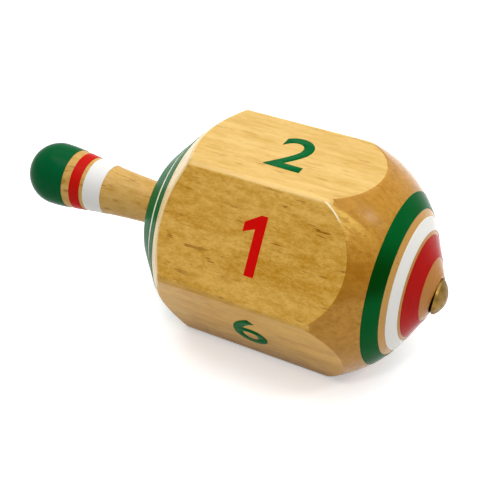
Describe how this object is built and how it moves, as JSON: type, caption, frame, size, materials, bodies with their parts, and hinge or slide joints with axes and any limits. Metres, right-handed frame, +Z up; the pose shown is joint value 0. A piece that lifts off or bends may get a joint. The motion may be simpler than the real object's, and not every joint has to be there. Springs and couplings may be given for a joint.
{
  "type": "teetotum spinning top",
  "caption": "Hexagonal wooden spinning top lying on a flat, with a ball-turned nose on a brass tack, a turned stem with a round knob, and painted green, white and red bands",
  "frame": {"origin": "on the surface that the top lies on, below the middle of its box", "axes": "+X along the spin axis from the knob to the tack, +Z up out of the uppermost flat, +Y across"},
  "size_m": [0.1314, 0.0642, 0.056],
  "materials": {
    "body_wood": "clear gloss lacquer",
    "stem_wood": "clear gloss lacquer",
    "brass": "dull brass",
    "green_paint": "gloss enamel paint",
    "white_paint": "gloss enamel paint",
    "red_paint": "gloss enamel paint"
  },
  "bodies": {
    "root": {"body": "body_wood", "stem": "stem_wood", "tip_tack": "brass", "knob_green_paint": "green_paint", "stem_red_band": "red_paint", "stem_white_band": "white_paint", "shoulder_inner_green_band": "green_paint", "shoulder_outer_green_band": "green_paint", "nose_green_band": "green_paint", "nose_white_band": "white_paint", "nose_red_band": "red_paint"}
  },
  "joints": []
}
